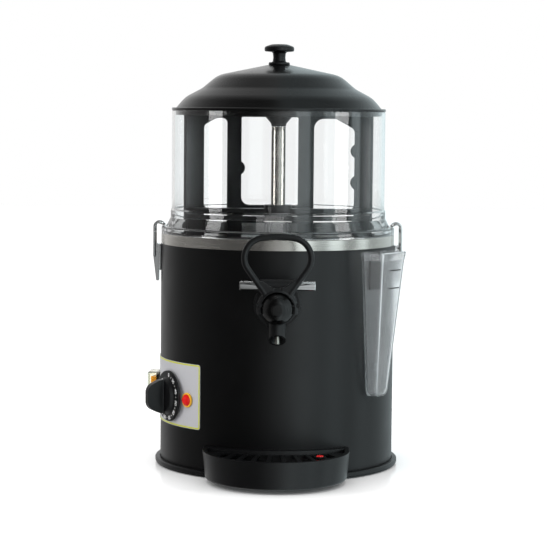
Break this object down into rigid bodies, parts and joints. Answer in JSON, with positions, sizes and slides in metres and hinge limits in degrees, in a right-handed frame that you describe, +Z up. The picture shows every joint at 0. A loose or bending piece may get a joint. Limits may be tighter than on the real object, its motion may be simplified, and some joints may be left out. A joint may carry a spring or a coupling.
{
  "type": "hot chocolate dispenser",
  "caption": "Counter-top hot chocolate dispenser: black heated body, clear bowl with stirring cage, bell lid, front tap with loop lever, drip tray, dial and side water cup.",
  "frame": {"origin": "on the machine's upright axis, at counter level under the feet", "axes": "+Z up along the body's axis; -Y to the front, where the tap and drip tray are; +X to the right side, where the water cup hangs"},
  "size_m": [0.2931, 0.358, 0.482],
  "materials": {
    "black_moulding": "satin moulded",
    "black_paint": "satin powder coat",
    "black_lid": "semi-gloss",
    "steel_sheet": "brushed",
    "bright_steel": "polished",
    "zinc_screw": "zinc plated",
    "rubber": "matte",
    "clear_bowl": "clear",
    "clear_cup": "clear, slightly milky",
    "clear_cover": "clear",
    "white_plastic": "satin",
    "control_plate": "satin print film",
    "red_lens": "gloss",
    "red_plastic": "gloss",
    "orange_plastic": "gloss",
    "motor_metal": "painted",
    "thermostat": "matte"
  },
  "bodies": {
    "machine": {"base_flange": "black_moulding", "base_plate": "steel_sheet", "body_shell": "black_paint", "bowl": "clear_bowl", "cable_gland": "black_moulding", "collar_nut": "black_moulding", "column_gasket": "rubber", "column_nuts": "bright_steel", "column_tube": "bright_steel", "control_plate": "control_plate", "cup_bracket": "bright_steel", "fill_cup": "clear_cup", "fill_pipe": "bright_steel", "foot_screws": "zinc_screw", "gear_motor": "motor_metal", "heater_nuts": "bright_steel", "heating_element": "bright_steel", "inner_pan": "steel_sheet", "lamp_bezel": "bright_steel", "lamp_lens": "red_lens", "latch_base_left": "bright_steel", "latch_base_right": "bright_steel", "latch_pins": "bright_steel", "motor_bracket": "steel_sheet", "motor_screws": "zinc_screw", "outlet_gasket": "rubber", "outlet_pipe": "bright_steel", "pan_gasket": "rubber", "plunger_spring": "bright_steel", "riser_sleeve": "white_plastic", "riser_washer": "white_plastic", "rubber_feet": "rubber", "shaft_bushes": "white_plastic", "switch_cover": "clear_cover", "switch_frame": "black_moulding", "tap_body": "black_moulding", "tap_cap": "black_moulding", "thermostat_body": "thermostat", "thermostat_screws": "zinc_screw", "water_tank": "steel_sheet"},
    "lid_body": {"lid": "black_lid", "lid_knob": "black_moulding", "knob_screw": "zinc_screw"},
    "mixer_body": {"drive_shaft": "bright_steel", "drive_hub": "black_moulding", "mixer": "black_moulding"},
    "lever_body": {"tap_lever": "black_moulding", "tap_crank": "bright_steel"},
    "valve_body": {"tap_plunger": "white_plastic", "plunger_seal": "rubber"},
    "cross_bar": {"tap_cross_bar": "bright_steel"},
    "dial": {"thermostat_knob": "black_moulding"},
    "rocker": {"switch_rocker": "orange_plastic"},
    "latch_left": {"latch_lever_left": "bright_steel"},
    "latch_right": {"latch_lever_right": "bright_steel"},
    "bail_left": {"latch_wire_left": "bright_steel"},
    "bail_right": {"latch_wire_right": "bright_steel"},
    "tray": {"drip_tray": "black_moulding"},
    "grille": {"drip_grille": "black_moulding"},
    "float_cap": {"drip_float": "red_plastic"}
  },
  "joints": [
    {"name": "lid_lift", "type": "slide", "parent": "machine", "child": "lid_body", "axis": [0, 0, 1], "range_m": [0, 0.15]},
    {"name": "mixer_spin", "type": "hinge", "parent": "machine", "child": "mixer_body", "pos_m": [0, 0, 0.3], "axis": [0, 0, 1], "continuous": true},
    {"name": "tap_pull", "type": "hinge", "parent": "machine", "child": "lever_body", "pos_m": [0, -0.189, 0.2], "axis": [1, 0, 0], "range_deg": [0, 24], "stiffness_Nm_per_rad": 0.6, "springref_deg": -17.19},
    {"name": "valve_lift", "type": "slide", "parent": "machine", "child": "valve_body", "axis": [0, 0, 1], "range_m": [0, 0.0065], "stiffness_N_per_m": 0.01, "springref_m": 2.02, "deforming": ["plunger_spring"]},
    {"name": "cross_bar_slide", "type": "slide", "parent": "machine", "child": "cross_bar", "axis": [1, 0, 0], "range_m": [-0.02, 0.02]},
    {"name": "dial_turn", "type": "hinge", "parent": "machine", "child": "dial", "pos_m": [-0.12361, -0.06573, 0.0846], "axis": [-0.8829, -0.4695, 0], "range_deg": [-270, 0]},
    {"name": "switch_rock", "type": "hinge", "parent": "machine", "child": "rocker", "pos_m": [-0.13553, 0.01186, 0.092], "axis": [0, 0, 1], "range_deg": [0, 14]},
    {"name": "tray_slide", "type": "slide", "parent": "machine", "child": "tray", "axis": [0, -1, 0], "range_m": [0, 0.12]},
    {"name": "grille_lift", "type": "slide", "parent": "tray", "child": "grille", "axis": [0, 0, 1], "range_m": [0, 0.05]},
    {"name": "float_rise", "type": "slide", "parent": "tray", "child": "float_cap", "axis": [0, 0, 1], "range_m": [0, 0.0035]},
    {"name": "latch_left_open", "type": "hinge", "parent": "machine", "child": "latch_left", "pos_m": [-0.1395, 0, 0.25], "axis": [0, -1, 0], "range_deg": [-150, 0]},
    {"name": "bail_left_swing", "type": "hinge", "parent": "latch_left", "child": "bail_left", "pos_m": [-0.1415, 0, 0.238], "axis": [0, -1, 0], "range_deg": [0, 171]},
    {"name": "latch_right_open", "type": "hinge", "parent": "machine", "child": "latch_right", "pos_m": [0.1395, 0, 0.25], "axis": [0, 1, 0], "range_deg": [-150, 0]},
    {"name": "bail_right_swing", "type": "hinge", "parent": "latch_right", "child": "bail_right", "pos_m": [0.1415, 0, 0.238], "axis": [0, 1, 0], "range_deg": [0, 171]}
  ],
  "couplings": [
    {"joint": "valve_lift", "follows": "tap_pull", "m_per_rad": 0.01505},
    {"joint": "bail_left_swing", "follows": "latch_left_open", "ratio": -1.1333},
    {"joint": "bail_right_swing", "follows": "latch_right_open", "ratio": -1.1333}
  ]
}
